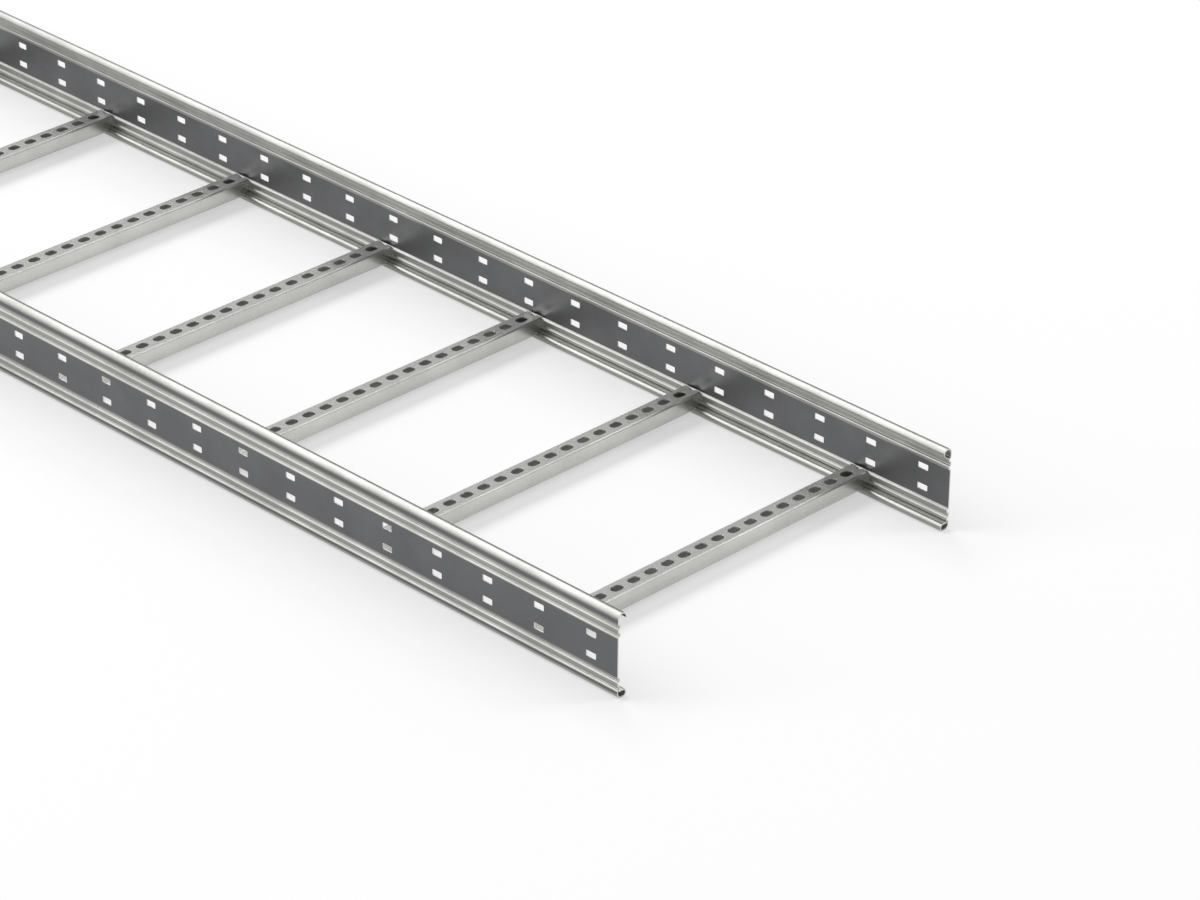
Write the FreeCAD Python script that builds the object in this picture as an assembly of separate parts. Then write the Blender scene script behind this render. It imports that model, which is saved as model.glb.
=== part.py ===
import FreeCAD, Part
import math
import os

# Cable ladder section: two roll-formed side rails and the punched channel rungs between them.
# Millimetres. X runs along the ladder, Y across it and Z up.
# The origin is on the ground under the middle of the section.

# Overall sizes
LENGTH = 3000.0               # length in which the ladder is sold
WIDTH = 500.0                 # across the outer faces of the two rail webs
HEIGHT = 99.0                 # from the ground to the top of the bead
RAIL_SHEET = 1.5              # thickness of the strip that a rail is rolled from

# Foot of a rail: the strip bends inward, curls up and turns back as a lip
FOOT_WIDTH = 13.0             # from the outer face of the web to the curl's innermost point
FOOT_HEIGHT = 9.3             # from the ground to the top of the lip
FOOT_BEND_RADIUS = 5.25       # bend radius at the middle of the strip, where web turns into foot
FOOT_LIP = 3.0                # flat part of the lip, which carries the rungs

# Grooves pressed inward along the web, in one pair above the foot and one below the bead
GROOVE_WIDTH = 7.6
GROOVE_DEPTH = 2.4
GROOVE_BEND_RADIUS = 1.8      # bend radius at the middle of the strip
GROOVE_BEND_FLAT_COUNT = 1    # flats that stand for each bend of a groove
GROOVE_PITCH = 9.5            # between the two grooves of a pair
LOWER_GROOVE_HEIGHT = 12.4    # from the ground to the lowest groove
UPPER_GROOVE_DROP = 15.0      # from the top of the bead to the highest groove

# Bead rolled inward along the top edge, flush with the outer face of the web and open below
BEAD_DIAMETER = 12.5
BEAD_WRAP = 190.0             # degrees of turn from the web round to the free edge

# Oblong slots along both webs, punched with square corners
SLOT_LENGTH = 14.0
SLOT_HEIGHT = 7.0
SLOT_PITCH = 75.0
SLOT_ROW_HEIGHT = 36.5        # from the ground to the lower row
SLOT_ROW_PITCH = 25.0
SLOT_ROW_COUNT = 2

# Rungs: C channel with its open side down, each end notched to sit over the foot
RUNG_COUNT = 12               # evenly along the length, with half a step left at either end
RUNG_WIDTH = 25.0
RUNG_HEIGHT = 20.0
RUNG_GROUND_CLEARANCE = 6.5   # from the ground to the underside of a rung
RUNG_SHEET = 1.5
RUNG_BEND_RADIUS = 1.5        # bend radius at the middle of the strip
RUNG_LIP = 6.5                # width of each inturned lip, measured from the rung's side
RUNG_BEND_FLAT_COUNT = 1      # flats that stand for each bend of a rung

# Round-ended holes along the top of a rung, punched in the long strip before it is cut
HOLE_LENGTH = 15.5            # across the ladder
HOLE_WIDTH = 10.5
HOLE_PITCH = 25.0
HOLE_END_FLAT_COUNT = 3       # flats that stand for each round end, except in the fixing holes
FIXING_RUNG_STEP = 3          # the middle rung of every three has its outermost whole holes drawn round

RAIL_HALF = RAIL_SHEET / 2
RUNG_HALF = RUNG_SHEET / 2


class StripPath:
    """Middle line of a bent strip in a plane, drawn as straight runs and tangent bends.

    A bend is a true arc, or a few flats tangent to that arc where a number of flats is given.
    """

    def __init__(self, u, v, heading):
        self.point = (u, v)
        self.heading = math.radians(heading)
        self.pieces = []

    def _ahead(self, angle, distance):
        u, v = self.point
        return (u + distance * math.cos(angle), v + distance * math.sin(angle))

    def run(self, length):
        """Straight run in the present direction."""
        end = self._ahead(self.heading, length)
        self.pieces.append((self.point, end, self.heading, self.heading, None, 0.0, None))
        self.point = end

    def bend(self, degrees, radius, flats=None):
        """Bend to the left for positive degrees, to the right for negative ones."""
        side = math.copysign(1.0, degrees)
        centre = self._ahead(self.heading + side * math.pi / 2, radius)
        heading_in = self.heading
        self.heading += math.radians(degrees)
        end = offset_point(centre, self.heading, -side * radius)
        self.pieces.append((self.point, end, heading_in, self.heading, centre, side * radius, flats))
        self.point = end

    def jog(self, offset, radius, flats=None):
        """Sideways step to the left for a positive offset, as two equal and opposite bends."""
        turn = math.degrees(math.acos(1 - abs(offset) / (2 * radius)))
        turn = math.copysign(turn, offset)
        self.bend(turn, radius, flats)
        self.bend(-turn, radius, flats)

    def _side(self, distance, place):
        """Edges of the line that lies a distance to the left of the middle line."""
        edges = []
        for start, end, heading_in, heading_out, centre, radius, flats in self.pieces:
            first = offset_point(start, heading_in, distance)
            last = offset_point(end, heading_out, distance)
            reach = radius - distance
            if centre is None:
                edges += polyline([place(*first), place(*last)])
            elif flats is None:
                middle = offset_point(centre, (heading_in + heading_out) / 2, -reach)
                edges.append(Part.Arc(place(*first), place(*middle), place(*last)).toShape())
            else:
                turn = (heading_out - heading_in) / (flats + 1)
                headings = [heading_in + (i + 0.5) * turn for i in range(flats + 1)]
                corner_reach = reach / math.cos(turn / 2)
                corners = [offset_point(centre, heading, -corner_reach) for heading in headings]
                edges += polyline([place(*point) for point in [first] + corners + [last]])
        return edges

    def face(self, sheet, place):
        """Section of a strip of the given sheet thickness along the path."""
        left = self._side(sheet / 2, place)
        right = self._side(-sheet / 2, place)
        start_cap = Part.LineSegment(right[0].Vertexes[0].Point, left[0].Vertexes[0].Point).toShape()
        end_cap = Part.LineSegment(left[-1].Vertexes[-1].Point, right[-1].Vertexes[-1].Point).toShape()
        edges = Part.__sortEdges__(left + right + [start_cap, end_cap])
        return Part.Face(Part.Wire(edges))


def offset_point(point, heading, distance):
    """Point at a distance to the left of another one, seen along the heading."""
    return (point[0] - distance * math.sin(heading), point[1] + distance * math.cos(heading))


def polyline(points):
    """Straight edges from each point to the next."""
    return [Part.LineSegment(a, b).toShape() for a, b in zip(points, points[1:])]


def centred_row(count, pitch):
    """Places of a number of equal steps, even about the middle."""
    return [(i - (count - 1) / 2) * pitch for i in range(count)]


def obround_cutter(length, width, depth):
    """Cutter for a true round-ended hole: long in Y, wide in X and deep in Z, centred on the origin."""
    half_run = (length - width) / 2
    radius = width / 2
    low = -depth / 2
    corners = [FreeCAD.Vector(x, y, low) for x, y in
               ((radius, -half_run), (radius, half_run), (-radius, half_run), (-radius, -half_run))]
    tip = FreeCAD.Vector(0, half_run + radius, low)
    tail = FreeCAD.Vector(0, -half_run - radius, low)
    edges = [
        Part.LineSegment(corners[0], corners[1]).toShape(),
        Part.Arc(corners[1], tip, corners[2]).toShape(),
        Part.LineSegment(corners[2], corners[3]).toShape(),
        Part.Arc(corners[3], tail, corners[0]).toShape(),
    ]
    return Part.Face(Part.Wire(edges)).extrude(FreeCAD.Vector(0, 0, depth))


def flatted_cutter(length, width, depth, flats):
    """The same cutter with a few flats tangent to each round end."""
    half_run = (length - width) / 2
    turn = math.pi / (flats + 1)
    corner_reach = width / 2 / math.cos(turn / 2)
    points = []
    for side in (1, -1):
        for i in range(flats + 1):
            angle = (i + 0.5) * turn
            points.append(FreeCAD.Vector(side * corner_reach * math.cos(angle),
                                         side * (half_run + corner_reach * math.sin(angle)), -depth / 2))
    outline = Part.Wire(polyline(points + points[:1]))
    return Part.Face(outline).extrude(FreeCAD.Vector(0, 0, depth))


def add_groove(path):
    """Groove pressed inward: a jog in, a flat crest and a jog back out."""
    turn = math.acos(1 - GROOVE_DEPTH / (2 * GROOVE_BEND_RADIUS))
    crest = GROOVE_WIDTH - 4 * GROOVE_BEND_RADIUS * math.sin(turn)
    path.jog(-GROOVE_DEPTH, GROOVE_BEND_RADIUS, GROOVE_BEND_FLAT_COUNT)
    path.run(crest)
    path.jog(GROOVE_DEPTH, GROOVE_BEND_RADIUS, GROOVE_BEND_FLAT_COUNT)


def climb_to(path, height):
    """Straight run up the web to a height."""
    path.run(height - path.point[1])


def rail_path():
    """Middle line of a rail, from the lip of the foot up to the free edge of the bead.

    The first coordinate is the distance inward from the middle of the web, the second is height.
    """
    curl = (FOOT_HEIGHT - RAIL_SHEET) / 2
    curl_centre = FOOT_WIDTH - RAIL_SHEET - curl
    path = StripPath(curl_centre - FOOT_LIP, FOOT_HEIGHT - RAIL_HALF, 0)
    path.run(FOOT_LIP)
    path.bend(-180, curl)
    path.run(curl_centre - FOOT_BEND_RADIUS)
    path.bend(-90, FOOT_BEND_RADIUS)

    lower_groove = LOWER_GROOVE_HEIGHT
    upper_groove = HEIGHT - UPPER_GROOVE_DROP - GROOVE_PITCH
    for groove in (lower_groove, lower_groove + GROOVE_PITCH, upper_groove, upper_groove + GROOVE_PITCH):
        climb_to(path, groove - GROOVE_WIDTH / 2)
        add_groove(path)

    climb_to(path, HEIGHT - BEAD_DIAMETER / 2)
    path.bend(-BEAD_WRAP, BEAD_DIAMETER / 2 - RAIL_HALF)
    return path


def side_rail(side):
    """Side rail at +Y for side 1 and at -Y for side -1."""
    web_middle = WIDTH / 2 - RAIL_HALF

    def place(inward, height):
        return FreeCAD.Vector(-LENGTH / 2, side * (web_middle - inward), height)

    rail = rail_path().face(RAIL_SHEET, place).extrude(FreeCAD.Vector(LENGTH, 0, 0))

    cutter = Part.makeBox(SLOT_LENGTH, 2 * RAIL_SHEET, SLOT_HEIGHT,
                          FreeCAD.Vector(-SLOT_LENGTH / 2, -RAIL_SHEET, -SLOT_HEIGHT / 2))
    cutters = []
    for row in range(SLOT_ROW_COUNT):
        for x in centred_row(int(LENGTH / SLOT_PITCH), SLOT_PITCH):
            height = SLOT_ROW_HEIGHT + row * SLOT_ROW_PITCH
            cutters.append(cutter.translated(FreeCAD.Vector(x, side * web_middle, height)))
    return rail.cut(Part.makeCompound(cutters)).removeSplitter()


def rung_path():
    """Middle line of a rung, from one inturned lip over the top to the other."""
    lip_run = RUNG_LIP - RUNG_HALF - RUNG_BEND_RADIUS
    side_run = RUNG_HEIGHT - RUNG_SHEET - 2 * RUNG_BEND_RADIUS
    top_run = RUNG_WIDTH - RUNG_SHEET - 2 * RUNG_BEND_RADIUS
    path = StripPath(RUNG_LIP - RUNG_WIDTH / 2, RUNG_HALF, 180)
    path.run(lip_run)
    path.bend(-90, RUNG_BEND_RADIUS, RUNG_BEND_FLAT_COUNT)
    path.run(side_run)
    path.bend(-90, RUNG_BEND_RADIUS, RUNG_BEND_FLAT_COUNT)
    path.run(top_run)
    path.bend(-90, RUNG_BEND_RADIUS, RUNG_BEND_FLAT_COUNT)
    path.run(side_run)
    path.bend(-90, RUNG_BEND_RADIUS, RUNG_BEND_FLAT_COUNT)
    path.run(lip_run)
    return path


def rung(round_fixing_holes):
    """Rung on its seat at the middle of the ladder, cut to reach from groove crest to groove crest."""
    half_length = WIDTH / 2 - RAIL_SHEET - GROOVE_DEPTH

    def place(along, height):
        return FreeCAD.Vector(along, -half_length, RUNG_GROUND_CLEARANCE + height)

    channel = rung_path().face(RUNG_SHEET, place).extrude(FreeCAD.Vector(0, 2 * half_length, 0))

    plain = flatted_cutter(HOLE_LENGTH, HOLE_WIDTH, 2 * RUNG_SHEET, HOLE_END_FLAT_COUNT)
    fixing = obround_cutter(HOLE_LENGTH, HOLE_WIDTH, 2 * RUNG_SHEET) if round_fixing_holes else plain
    top = RUNG_GROUND_CLEARANCE + RUNG_HEIGHT - RUNG_HALF
    last_whole = int((half_length - HOLE_LENGTH / 2) / HOLE_PITCH)
    last_cut = math.ceil((half_length + HOLE_LENGTH / 2) / HOLE_PITCH) - 1
    cutters = []
    for step in range(-last_cut, last_cut + 1):
        cutter = fixing if abs(step) == last_whole else plain
        cutters.append(cutter.translated(FreeCAD.Vector(0, step * HOLE_PITCH, top)))
    for notch_start in (WIDTH / 2 - FOOT_WIDTH, -WIDTH / 2):
        corner = FreeCAD.Vector(-RUNG_WIDTH / 2, notch_start, 0)
        cutters.append(Part.makeBox(RUNG_WIDTH, FOOT_WIDTH, FOOT_HEIGHT, corner))
    return channel.cut(Part.makeCompound(cutters)).removeSplitter()


def save(shape, node):
    """Write one sub-part as its own file."""
    shape.Solids[0].exportStep(os.path.join("parts", node + ".step"))


os.makedirs("parts", exist_ok=True)
save(side_rail(1), "side_rail_left")
save(side_rail(-1), "side_rail_right")
plain_rung = rung(False)
fixing_rung = rung(True)
for index, x in enumerate(centred_row(RUNG_COUNT, LENGTH / RUNG_COUNT)):
    is_fixing = index % FIXING_RUNG_STEP == FIXING_RUNG_STEP // 2
    pattern = fixing_rung if is_fixing else plain_rung
    save(pattern.translated(FreeCAD.Vector(x, 0, 0)), "rung_%02d" % (index + 1))
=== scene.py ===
import math

import bmesh
import bpy
from mathutils import Matrix, Vector


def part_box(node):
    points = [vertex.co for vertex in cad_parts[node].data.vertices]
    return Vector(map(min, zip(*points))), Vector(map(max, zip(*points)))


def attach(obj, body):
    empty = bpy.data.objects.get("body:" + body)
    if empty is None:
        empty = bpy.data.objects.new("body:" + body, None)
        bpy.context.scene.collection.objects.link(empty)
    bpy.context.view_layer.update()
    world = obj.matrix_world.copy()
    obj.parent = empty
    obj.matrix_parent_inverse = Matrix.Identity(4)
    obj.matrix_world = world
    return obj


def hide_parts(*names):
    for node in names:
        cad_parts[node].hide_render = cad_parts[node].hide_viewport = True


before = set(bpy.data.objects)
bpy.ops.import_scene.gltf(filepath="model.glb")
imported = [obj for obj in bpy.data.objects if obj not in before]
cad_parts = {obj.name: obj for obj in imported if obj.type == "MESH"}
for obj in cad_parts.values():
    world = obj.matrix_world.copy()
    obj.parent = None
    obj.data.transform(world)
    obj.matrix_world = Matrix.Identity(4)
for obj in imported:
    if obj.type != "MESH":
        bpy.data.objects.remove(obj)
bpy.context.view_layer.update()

# Side rails. Each real rail is one strip of zinc-coated steel sheet, slotted while it is flat and then rolled.
# The foot that the rungs stand on, four stiffening grooves and the hollow bead come out of the same strip.
# Its steel is drawn lighter at bends, grooves and foot only to match the tones of the photograph: painted
# highlights on the bends and grooves, and painted light on the foot's lip and inside its curl. The web is
# drawn far darker than the rungs' same steel, as painted shade in place of dark reflections.
rail_low, rail_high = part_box("side_rail_right")
rail_half_length = rail_high.x
web_outer_face = -rail_low.y
rail_height = 0.099
rail_sheet = 0.0015

# The free lip of the foot reaches closer to the web than the plain lip of the CAD rail.
foot_width = 0.013
foot_height = 0.0093
foot_bend_radius = 0.00525
foot_lip = 0.0058

groove_width = 0.0076
groove_depth = 0.0024
groove_bend_radius = 0.0018
groove_heights = [0.0124, 0.0219, 0.0745, 0.0840]

bead_diameter = 0.0125
bead_wrap = 190

slot_length = 0.014
slot_height = 0.007
slot_corner_radius = 0.001
slot_pitch = 0.075
slots_in_a_row = 40
slot_row_heights = [0.0365, 0.0615]

# A bend is drawn with one facet for each of these degrees, and a punched corner with a fixed number.
degrees_per_facet = 8
facets_per_corner = 5

# Cut edges are rounded by this much wherever two faces meet at more than the angle.
edge_rounding = 0.00015
edge_rounding_segments = 2
edge_rounding_angle = 60

# Places in a piece's list of materials, and the one that each kind of stretch takes. On a rail, lighter holds
# painted highlights and sheltered holds painted light; in a rung, lighter holds a faint painted highlight and
# sheltered holds painted shade.
plain, cut_edge, lighter, sheltered = range(4)
finish_of_stretch = {"run": plain, "punched": plain, "rolled": lighter, "bend": lighter,
                     "sheltered": sheltered}


def jog(offset, radius):
    """Two equal and opposite bends that carry a sheet sideways, to the left for a positive offset."""
    turn = math.copysign(math.degrees(math.acos(1 - abs(offset) / (2 * radius))), offset)
    return [("bend", turn, radius), ("bend", -turn, radius)]


def groove():
    """Groove rolled inward along a rail: in, along its flat crest and out again."""
    turn = math.acos(1 - groove_depth / (2 * groove_bend_radius))
    crest = groove_width - 4 * groove_bend_radius * math.sin(turn)
    return jog(-groove_depth, groove_bend_radius) + [("rolled", crest)] + jog(groove_depth, groove_bend_radius)


def fold(u, v, heading, moves):
    """Middle line of a folded sheet as stations of u, v and heading, with what lies between each and the next.

    A bend turns left for positive degrees. The second result is the material of each stretch. The third holds
    the punched runs by the number of their first station.
    """
    heading = math.radians(heading)
    stations = [(u, v, heading)]
    finishes = []
    punched_runs = {}
    for kind, size, detail in [(move + (None,))[:3] for move in moves]:
        if kind == "bend":
            turn = math.radians(size)
            reach = math.copysign(detail, turn)
            centre_u = u - reach * math.sin(heading)
            centre_v = v + reach * math.cos(heading)
            facets = math.ceil(abs(size) / degrees_per_facet)
            for i in range(1, facets + 1):
                angle = heading + turn * i / facets
                stations.append((centre_u + reach * math.sin(angle),
                                 centre_v - reach * math.cos(angle), angle))
                finishes.append(finish_of_stretch[kind])
            heading += turn
        else:
            if kind == "punched":
                punched_runs[len(stations) - 1] = detail
            stations.append((u + size * math.cos(heading), v + size * math.sin(heading), heading))
            finishes.append(finish_of_stretch[kind])
        u, v = stations[-1][:2]
    return stations, finishes, punched_runs


def edge_ring(mesh, corners):
    """Edges from each vertex to the next and back to the first, made where they don't exist yet."""
    return [mesh.edges.get(pair) or mesh.edges.new(pair) for pair in zip(corners, corners[1:] + corners[:1])]


def sheet_mesh(name, line, sheet, hollow_height, reach, place):
    """Mesh of a folded and punched sheet, with a material number on every face.

    A point of it is given by its distance along the sheet and by u and v in the section. The reach is the
    distance from the middle of the sheet to its cut end at a height v. A punched run has closed holes and an
    end line, each drawn as distances along the sheet and across the run. Up to the hollow height the sheet's
    right-hand side lies inside a fold, and has the sheltered material.
    """
    stations, finishes, punched_runs = line
    mesh = bmesh.new()

    def vertex(station, along, across, side):
        u, v, heading = stations[station]
        u += across * math.cos(heading) - side * sheet / 2 * math.sin(heading)
        v += across * math.sin(heading) + side * sheet / 2 * math.cos(heading)
        return mesh.verts.new(place(along, u, v))

    def close_edge(one_face, other_face):
        for a, b, c, d in zip(one_face, one_face[1:], other_face[1:], other_face):
            mesh.faces.new((a, b, c, d)).material_index = cut_edge

    faces_of_sheet = []
    for side in (1, -1):
        in_hollow = [side < 0 and max(a[1], b[1]) < hollow_height for a, b in zip(stations, stations[1:])]
        ends = {end: [vertex(i, end * reach(station[1]), 0, side) for i, station in enumerate(stations)]
                for end in (-1, 1)}
        end_lines = {-1: [], 1: []}
        hole_rings = []
        for i in range(len(stations) - 1):
            finish = sheltered if in_hollow[i] else finishes[i]
            holes, end_line = punched_runs.get(i, ([], []))
            run_ends = {}
            for end in (-1, 1):
                notch = [vertex(i, end * along, across, side) for along, across in end_line]
                run_ends[end] = [ends[end][i]] + notch + [ends[end][i + 1]]
                end_lines[end] += run_ends[end] if i == 0 else run_ends[end][1:]
            if i not in punched_runs:
                stretch = mesh.faces.new((ends[-1][i], ends[1][i], ends[1][i + 1], ends[-1][i + 1]))
                stretch.material_index = finish
                continue
            rings = [[vertex(i, along, across, side) for along, across in hole] for hole in holes]
            outline = run_ends[1] + run_ends[-1][::-1]
            edges = [edge for ring in [outline] + rings for edge in edge_ring(mesh, ring)]
            for part in bmesh.ops.triangle_fill(mesh, use_beauty=True, edges=edges)["geom"]:
                if isinstance(part, bmesh.types.BMFace):
                    part.material_index = finish
            hole_rings += rings
        faces_of_sheet.append((ends, end_lines, hole_rings))

    (left_ends, left_lines, left_rings), (right_ends, right_lines, right_rings) = faces_of_sheet
    for end in (-1, 1):
        close_edge(left_lines[end], right_lines[end])
    for left, right in zip(left_rings, right_rings):
        close_edge(left + left[:1], right + right[:1])
    for i in (0, -1):
        close_edge([left_ends[-1][i], left_ends[1][i]], [right_ends[-1][i], right_ends[1][i]])
    bmesh.ops.recalc_face_normals(mesh, faces=mesh.faces)

    finished = bpy.data.meshes.new(name)
    mesh.to_mesh(finished)
    mesh.free()
    return finished


def sheet_piece(name, mesh, materials, replaced_node):
    """Piece of sheet with smooth bends, slightly rounded cut edges and flats that shade flat."""
    piece = bpy.data.objects.new(name, mesh)
    bpy.context.scene.collection.objects.link(piece)
    for material in materials:
        mesh.materials.append(material)
    mesh.shade_smooth()
    rounded = piece.modifiers.new("rounded cut edges", "BEVEL")
    rounded.width = edge_rounding
    rounded.segments = edge_rounding_segments
    rounded.limit_method = "ANGLE"
    rounded.angle_limit = math.radians(edge_rounding_angle)
    flats = piece.modifiers.new("flat faces shade flat", "WEIGHTED_NORMAL")
    flats.weight = 100
    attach(piece, "root")
    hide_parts(replaced_node)


def slot_outline(centre, height):
    """Square-cut slot with small corner rounds, as distances along the rail and up the punched run."""
    points = []
    for quarter in range(4):
        sign_x = 1 if quarter in (0, 3) else -1
        sign_z = 1 if quarter in (0, 1) else -1
        corner_x = centre + sign_x * (slot_length / 2 - slot_corner_radius)
        corner_z = height + sign_z * (slot_height / 2 - slot_corner_radius)
        for i in range(facets_per_corner + 1):
            angle = math.pi / 2 * (quarter + i / facets_per_corner)
            points.append((corner_x + slot_corner_radius * math.cos(angle),
                           corner_z + slot_corner_radius * math.sin(angle)))
    return points


def rail_line():
    """Section of a rail from the lip of its foot to the edge of its bead: u inward from the web, v upward."""
    curl_radius = (foot_height - rail_sheet) / 2
    curl_centre = foot_width - rail_sheet - curl_radius
    web_start = groove_heights[1] + groove_width / 2
    web_end = groove_heights[2] - groove_width / 2
    first_slot = -(slots_in_a_row - 1) / 2 * slot_pitch
    slots = [slot_outline(first_slot + i * slot_pitch, height - web_start)
             for height in slot_row_heights for i in range(slots_in_a_row)]
    between_grooves = ("rolled", groove_heights[1] - groove_heights[0] - groove_width)
    foot_rise = rail_sheet / 2 + foot_bend_radius
    bead_start = rail_height - bead_diameter / 2
    moves = [
        ("sheltered", foot_lip),
        ("bend", -180, curl_radius),
        ("rolled", curl_centre - foot_bend_radius),
        ("bend", -90, foot_bend_radius),
        ("run", groove_heights[0] - groove_width / 2 - foot_rise),
        *groove(),
        between_grooves,
        *groove(),
        ("punched", web_end - web_start, (slots, [])),
        *groove(),
        between_grooves,
        *groove(),
        ("run", bead_start - groove_heights[3] - groove_width / 2),
        ("bend", -bead_wrap, (bead_diameter - rail_sheet) / 2),
    ]
    return fold(curl_centre - foot_lip, foot_height - rail_sheet / 2, 0, moves)


def new_group(name, inputs, outputs):
    """Empty shader node group with named sockets, and its input and output nodes."""
    group = bpy.data.node_groups.new(name, "ShaderNodeTree")
    for label, kind, default in inputs:
        socket = group.interface.new_socket(label, in_out="INPUT", socket_type="NodeSocket" + kind)
        socket.default_value = default
    for label, kind in outputs:
        group.interface.new_socket(label, in_out="OUTPUT", socket_type="NodeSocket" + kind)
    return group, group.nodes.new("NodeGroupInput"), group.nodes.new("NodeGroupOutput")


def noise(tree, place, grains_to_the_metre, detail):
    """Noise texture of a number of grains to the metre."""
    texture = tree.nodes.new("ShaderNodeTexNoise")
    texture.inputs["Scale"].default_value = grains_to_the_metre
    texture.inputs["Detail"].default_value = detail
    tree.links.new(place, texture.inputs["Vector"])
    return texture.outputs["Fac"]


def spread(tree, value, low, high):
    """Noise value, which mostly lies between 0.3 and 0.7, stretched to run from low to high."""
    stretch = tree.nodes.new("ShaderNodeMapRange")
    stretch.inputs["From Min"].default_value = 0.3
    stretch.inputs["From Max"].default_value = 0.7
    tree.links.new(value, stretch.inputs["Value"])
    for label, bound in (("To Min", low), ("To Max", high)):
        if isinstance(bound, (int, float)):
            stretch.inputs[label].default_value = bound
        else:
            tree.links.new(bound, stretch.inputs[label])
    return stretch.outputs["Result"]


def calculate(tree, operation, first, second):
    """Result of a calculation on two values, each a socket or a number."""
    node = tree.nodes.new("ShaderNodeMath")
    node.operation = operation
    for socket, value in zip(node.inputs, (first, second)):
        if isinstance(value, (int, float)):
            socket.default_value = value
        else:
            tree.links.new(value, socket)
    return node.outputs["Value"]


def zinc_coating():
    """Skin of hot-dipped strip after rolling: fine lines along it, soft clouds of dull zinc, slight waves."""
    group, given, result = new_group(
        "Zinc coating",
        [("Colour", "Color", (0.5, 0.5, 0.5, 1)), ("Roughness", "Float", 0.3),
         ("Rolling Direction", "Vector", (1, 1, 1)), ("Clouds", "Float", 0.06), ("Lines", "Float", 0.05)],
        [("Colour", "Color"), ("Roughness", "Float"), ("Height", "Float")])
    place = group.nodes.new("ShaderNodeTexCoord").outputs["Object"]
    drawn_out = group.nodes.new("ShaderNodeVectorMath")
    drawn_out.operation = "MULTIPLY"
    group.links.new(place, drawn_out.inputs[0])
    group.links.new(given.outputs["Rolling Direction"], drawn_out.inputs[1])

    lines = noise(group, drawn_out.outputs["Vector"], 900, 2)
    clouds = noise(group, place, 22, 4)
    crystals = noise(group, place, 260, 1)
    waves = noise(group, place, 7, 1)

    fewer = calculate(group, "SUBTRACT", 1, given.outputs["Clouds"])
    more = calculate(group, "ADD", 1, given.outputs["Clouds"])
    cloud_shade = spread(group, clouds, fewer, more)
    dark_line = calculate(group, "SUBTRACT", 1, given.outputs["Lines"])
    line_shade = spread(group, lines, dark_line, 1)
    crystal_shade = spread(group, crystals, 0.98, 1.02)
    shade = calculate(group, "MULTIPLY", calculate(group, "MULTIPLY", cloud_shade, line_shade), crystal_shade)
    tint = group.nodes.new("ShaderNodeVectorMath")
    tint.operation = "SCALE"
    group.links.new(given.outputs["Colour"], tint.inputs[0])
    group.links.new(shade, tint.inputs["Scale"])
    group.links.new(tint.outputs["Vector"], result.inputs["Colour"])

    dullness = calculate(group, "MULTIPLY", spread(group, clouds, 1.12, 0.9), spread(group, lines, 0.95, 1.05))
    roughness = calculate(group, "MULTIPLY", given.outputs["Roughness"], dullness)
    group.links.new(roughness, result.inputs["Roughness"])
    line_height = calculate(group, "MULTIPLY", lines, 0.02)
    group.links.new(calculate(group, "ADD", line_height, waves), result.inputs["Height"])
    return group


def coated_steel(name, colour, roughness, rolling_direction, metallic=1):
    """Zinc-coated strip, whose rolling lines are drawn out along the axis with the small factor."""
    material = bpy.data.materials.new(name)
    material.use_nodes = True
    tree = material.node_tree
    steel = tree.nodes["Principled BSDF"]
    steel.inputs["Metallic"].default_value = metallic
    coating = tree.nodes.new("ShaderNodeGroup")
    coating.node_tree = zinc
    coating.inputs["Colour"].default_value = (*colour, 1)
    coating.inputs["Roughness"].default_value = roughness
    coating.inputs["Rolling Direction"].default_value = rolling_direction
    relief = tree.nodes.new("ShaderNodeBump")
    relief.inputs["Strength"].default_value = 0.1
    relief.inputs["Distance"].default_value = 0.0006
    tree.links.new(coating.outputs["Colour"], steel.inputs["Base Color"])
    tree.links.new(coating.outputs["Roughness"], steel.inputs["Roughness"])
    tree.links.new(coating.outputs["Height"], relief.inputs["Height"])
    tree.links.new(relief.outputs["Normal"], steel.inputs["Normal"])
    return material


def sheared_steel(name, colour, roughness):
    """Bare steel where the sheet was punched, slit or sawn: torn streaks that run through its thickness."""
    material = bpy.data.materials.new(name)
    material.use_nodes = True
    tree = material.node_tree
    steel = tree.nodes["Principled BSDF"]
    steel.inputs["Metallic"].default_value = 1
    place = tree.nodes.new("ShaderNodeTexCoord").outputs["Object"]
    streaks = noise(tree, place, 1800, 2)
    shades = tree.nodes.new("ShaderNodeMix")
    shades.data_type = "RGBA"
    shades.inputs["A"].default_value = (*[0.82 * part for part in colour], 1)
    shades.inputs["B"].default_value = (*colour, 1)
    tree.links.new(spread(tree, streaks, 0, 1), shades.inputs["Factor"])
    tree.links.new(shades.outputs["Result"], steel.inputs["Base Color"])
    tree.links.new(spread(tree, streaks, roughness * 1.15, roughness * 0.9), steel.inputs["Roughness"])
    return material


zinc = zinc_coating()
along_the_rail = (0.004, 1, 1)
# Web steel far darker than the rungs' same steel: painted shade that stands in for dark reflections.
rail_web_painted_shade_skin = coated_steel("Rail steel", (0.148, 0.150, 0.154), 0.36, along_the_rail)
# Bends, grooves and the flats between them drawn more than twice as light as the web: painted highlights.
rail_highlight_skin = coated_steel("Rail steel with painted highlights on bends and grooves", (0.34, 0.34, 0.325), 0.32, along_the_rail)
# Foot lip and the inside of the foot curl drawn pale: painted light where the foot lies in shade.
foot_painted_light_skin = coated_steel("Rail steel painted light in the foot", (0.70, 0.70, 0.67), 0.4, along_the_rail, 0.8)
cut_steel = sheared_steel("Cut steel", (0.78, 0.78, 0.77), 0.42)
rail_materials = (rail_web_painted_shade_skin, cut_steel, rail_highlight_skin, foot_painted_light_skin)

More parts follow.
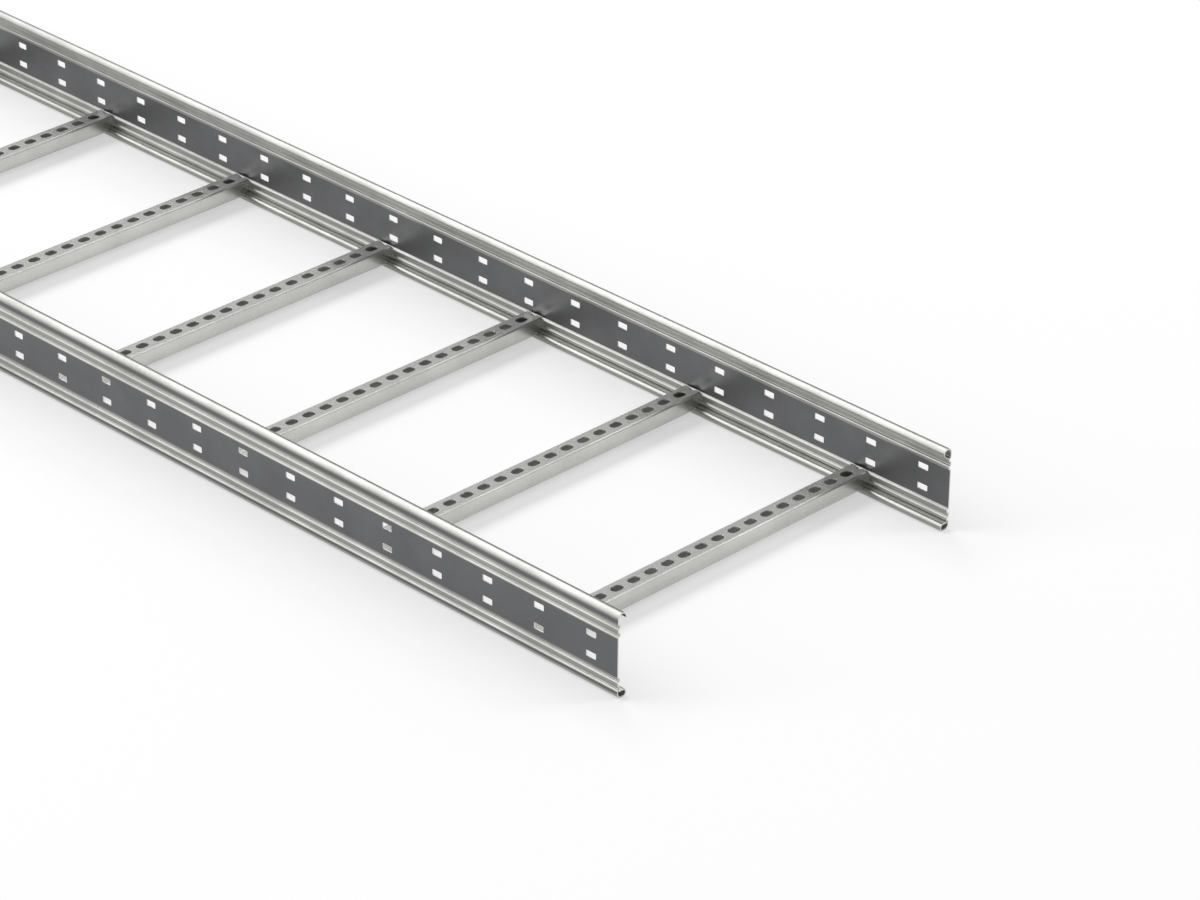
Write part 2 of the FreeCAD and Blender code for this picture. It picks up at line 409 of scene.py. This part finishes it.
for side_name, side in (("left", 1), ("right", -1)):
    def place_on_rail(along, inward, up, side=side):
        return Vector((along, side * (web_outer_face - rail_sheet / 2 - inward), up))

    def rail_reach(up):
        return rail_half_length

    rail_mesh = sheet_mesh("Side rail " + side_name, rail_line(), rail_sheet, foot_height, rail_reach,
                           place_on_rail)
    sheet_piece("rolled_rail_" + side_name, rail_mesh, rail_materials, "side_rail_" + side_name)

# Rungs. Each real rung is a length of punched C channel, cold-rolled from zinc-coated strip and cut from long
# stock, as its row of holes, which runs out through its two ends, suggests. The ends meet the lower grooves.
# How they are fixed there doesn't show, and the notch over the foot is a guess.
rung_names = sorted(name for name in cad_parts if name.startswith("rung_"))
rung_sheet = 0.0015
rung_width = 0.025
rung_height = 0.020
rung_bend_radius = 0.0015
rung_lip = 0.0065
notched_half_length = web_outer_face - foot_width

hole_length = 0.0155
hole_width = 0.0105
hole_pitch = 0.025
facets_per_round_end = 16


def round_ended_hole(centre, middle):
    """Closed outline of a hole whose long side lies along the rung."""
    points = []
    for end in (1, -1):
        for i in range(facets_per_round_end + 1):
            angle = math.pi * (i / facets_per_round_end - 0.5)
            points.append((centre + end * ((hole_length - hole_width) / 2 + hole_width / 2 * math.cos(angle)),
                           middle + end * hole_width / 2 * math.sin(angle)))
    return points


def cut_hole_line(centre, middle, half_length):
    """Rounded notch that a hole leaves where the channel was cut through it, from its low side upward."""
    round_centre = centre - (hole_length - hole_width) / 2
    first = math.acos((half_length - round_centre) / (hole_width / 2))
    sweep = 2 * math.pi - 2 * first
    points = []
    for i in range(facets_per_round_end + 1):
        angle = -first - sweep * i / facets_per_round_end
        points.append((round_centre + hole_width / 2 * math.cos(angle),
                       middle + hole_width / 2 * math.sin(angle)))
    return points


def rung_line(half_length, notch_height):
    """Section of a rung from one inturned lip over the top to the other: u along the ladder, v upward."""
    corner = ("bend", -90, rung_bend_radius)
    lip = ("run", rung_lip - rung_sheet / 2 - rung_bend_radius)
    wall = rung_height - rung_sheet - 2 * rung_bend_radius
    notch = notch_height - rung_sheet / 2 - rung_bend_radius
    notch_up = [(notched_half_length, notch), (half_length, notch)]
    notch_down = [(half_length, wall - notch), (notched_half_length, wall - notch)]
    top = rung_width - rung_sheet - 2 * rung_bend_radius
    whole_each_side = int((half_length - hole_length / 2) / hole_pitch)
    holes = [round_ended_hole(i * hole_pitch, top / 2) for i in range(-whole_each_side, whole_each_side + 1)]
    end_line = cut_hole_line((whole_each_side + 1) * hole_pitch, top / 2, half_length)
    moves = [
        lip,
        corner,
        ("punched", wall, ([], notch_up)),
        corner,
        ("punched", top, (holes, end_line)),
        corner,
        ("punched", wall, ([], notch_down)),
        corner,
        lip,
    ]
    return fold(rung_lip - rung_width / 2, rung_sheet / 2, 180, moves)


along_the_rung = (1, 0.004, 1)
rung_skin = coated_steel("Rung steel", (0.60, 0.60, 0.58), 0.26, along_the_rung)
# A shade lighter than the flats: a faint painted highlight on the bends.
rung_bend_skin = coated_steel("Rung steel of the bends", (0.62, 0.62, 0.60), 0.4, along_the_rung)
# Inside of each channel drawn darker and half diffuse: painted shade in the hollows, so the holes read dark.
rung_inside_painted_shade_skin = coated_steel("Steel painted darker in the rung hollows", (0.40, 0.40, 0.38), 0.5, (1, 1, 1), 0.5)
rung_materials = (rung_skin, cut_steel, rung_bend_skin, rung_inside_painted_shade_skin)

for rung_name in rung_names:
    rung_box_low, rung_box_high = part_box(rung_name)

    def place_on_rung(along, u, v, low=rung_box_low, high=rung_box_high):
        return Vector(((low.x + high.x) / 2 + u, along, low.z + v))

    rung_notch_height = foot_height - rung_box_low.z

    def rung_reach(v, whole=rung_box_high.y, notch_height=rung_notch_height):
        return notched_half_length if v < notch_height else whole

    section = rung_line(rung_box_high.y, rung_notch_height)
    rung_mesh = sheet_mesh("Channel " + rung_name, section, rung_sheet, rung_height, rung_reach, place_on_rung)
    sheet_piece("channel_" + rung_name, rung_mesh, rung_materials, rung_name)

# Floor. A plain pale sheet of studio paper under the ladder. The camera and reflections see it near white,
# with the ladder's shadow on it.
floor_reach = 30
floor_colour = 0.60
floor_glow = 0.47
floor_mesh = bpy.data.meshes.new("Floor")
floor_mesh.from_pydata([(-floor_reach, -floor_reach, 0), (floor_reach, -floor_reach, 0),
                        (floor_reach, floor_reach, 0), (-floor_reach, floor_reach, 0)], [], [(0, 1, 2, 3)])
floor = bpy.data.objects.new("Floor", floor_mesh)
bpy.context.scene.collection.objects.link(floor)


def seen_or_reflected(tree):
    """One for a camera, glossy or transmission ray, and nought for the light that falls on things."""
    path = tree.nodes.new("ShaderNodeLightPath")
    seen = calculate(tree, "MAXIMUM", path.outputs["Is Camera Ray"], path.outputs["Is Glossy Ray"])
    return calculate(tree, "MAXIMUM", seen, path.outputs["Is Transmission Ray"])


paper = bpy.data.materials.new("Floor paper")
paper.use_nodes = True
paper_tree = paper.node_tree
paper_skin = paper_tree.nodes["Principled BSDF"]
paper_skin.inputs["Base Color"].default_value = (floor_colour, floor_colour, floor_colour, 1)
paper_skin.inputs["Roughness"].default_value = 0.9
paper_skin.inputs["Specular IOR Level"].default_value = 0
paper_skin.inputs["Emission Color"].default_value = (1, 1, 1, 1)
paper_glow = calculate(paper_tree, "MULTIPLY", seen_or_reflected(paper_tree), floor_glow)
paper_tree.links.new(paper_glow, paper_skin.inputs["Emission Strength"])
floor_mesh.materials.append(paper)

# Studio light. A white room, dimmer for the light it sheds than for how it looks. Five long soft boxes
# parallel to the ladder arch beyond its far end like a tunnel, and give each bend one even streak.
# A square one stands far beyond the near end of the left rail.
room_light = 0.4
room_seen = 0.6
world = bpy.data.worlds.new("Studio")
world.use_nodes = True
bpy.context.scene.world = world
world_tree = world.node_tree
sky = world_tree.nodes["Background"]
sky.inputs["Color"].default_value = (1, 1, 1, 1)
room_glow = calculate(world_tree, "MULTIPLY", seen_or_reflected(world_tree), room_seen)
room_strength = calculate(world_tree, "MAXIMUM", room_glow, room_light)
world_tree.links.new(room_strength, sky.inputs["Strength"])


def soft_box(name, place, faces, side, length, width, brightness):
    """Soft box that faces one way and has its length along another. Its brightness is what a mirror shows."""
    lamp = bpy.data.lights.new(name, "AREA")
    lamp.shape = "RECTANGLE"
    lamp.size = length
    lamp.size_y = width
    lamp.energy = math.pi * length * width * brightness
    back = -Vector(faces).normalized()
    along = Vector(side).normalized()
    holder = bpy.data.objects.new(name, lamp)
    turned = Matrix((along, back.cross(along), back)).transposed().to_4x4()
    holder.matrix_world = Matrix.Translation(place) @ turned
    bpy.context.scene.collection.objects.link(holder)


# Each box of the tunnel is given by its angle up from the left-hand side, and by its brightness.
tunnel_radius = 20
tunnel_middle = -15.4
tunnel_box_length = 12.3
tunnel_box_width = 8.7
tunnel_boxes = [(167, 2.1), (142, 2.9), (117, 3.6), (92, 4.2), (67, 3.7)]
for angle, brightness in tunnel_boxes:
    across = math.cos(math.radians(angle))
    up = math.sin(math.radians(angle))
    place = (tunnel_middle, tunnel_radius * across, tunnel_radius * up)
    soft_box("Tunnel soft box %d" % angle, place, (0, -across, -up), (1, 0, 0),
             tunnel_box_length, tunnel_box_width, brightness)

far_box_place = (9.6, 12.4, 12.4)
far_box_faces = (-0.48, -0.62, -0.62)
far_box_side = (-0.62, 0.48, 0)
far_box_size = 5
far_box_brightness = 6
soft_box("Far soft box", far_box_place, far_box_faces, far_box_side,
         far_box_size, far_box_size, far_box_brightness)

# Camera. A long lens, low over the near end of the right-hand rail.
camera_place = (4.5775, -3.3914, 2.6999)
camera_azimuth = math.radians(44.670)
camera_elevation = math.radians(28.765)
camera_roll = math.radians(0.630)
camera_data = bpy.data.cameras.new("Camera")
camera_data.sensor_width = 36
camera_data.lens = 154.09
camera_data.clip_end = 100
camera = bpy.data.objects.new("Camera", camera_data)
aimed = Matrix.Rotation(camera_azimuth, 4, "Z") @ Matrix.Rotation(math.pi / 2 - camera_elevation, 4, "X")
camera.matrix_world = Matrix.Translation(camera_place) @ aimed @ Matrix.Rotation(camera_roll, 4, "Z")
bpy.context.scene.collection.objects.link(camera)
bpy.context.scene.camera = camera

bpy.context.scene.view_settings.view_transform = "Standard"
